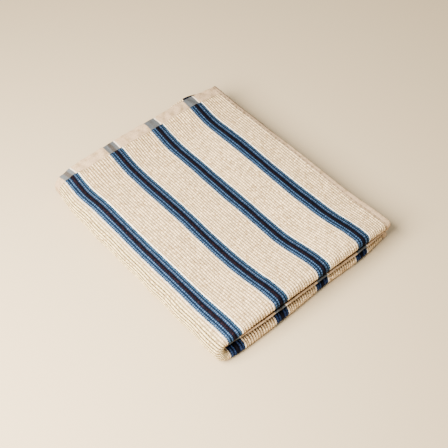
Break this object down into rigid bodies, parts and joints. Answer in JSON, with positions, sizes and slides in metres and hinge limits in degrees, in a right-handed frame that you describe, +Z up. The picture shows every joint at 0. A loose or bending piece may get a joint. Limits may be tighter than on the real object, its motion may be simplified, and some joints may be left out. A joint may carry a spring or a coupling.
{
  "type": "face towel",
  "caption": "Striped ribbed cotton face towel, folded in three along its length and then in half, lying flat.",
  "frame": {"origin": "middle of the folded towel's footprint, on the surface that it lies on", "axes": "+X across the stripes, from the round lengthwise fold towards the open sides; +Y along the stripes, from the two round folds at the front towards the end hem on top; +Z up"},
  "size_m": [0.246, 0.3058, 0.0372],
  "materials": {
    "ribbed_cotton": "matt ribbed cotton loops in natural cream, with woven blue and near-black stripes and flat-woven hems"
  },
  "bodies": {
    "root": {"towel": "ribbed_cotton"}
  },
  "joints": []
}
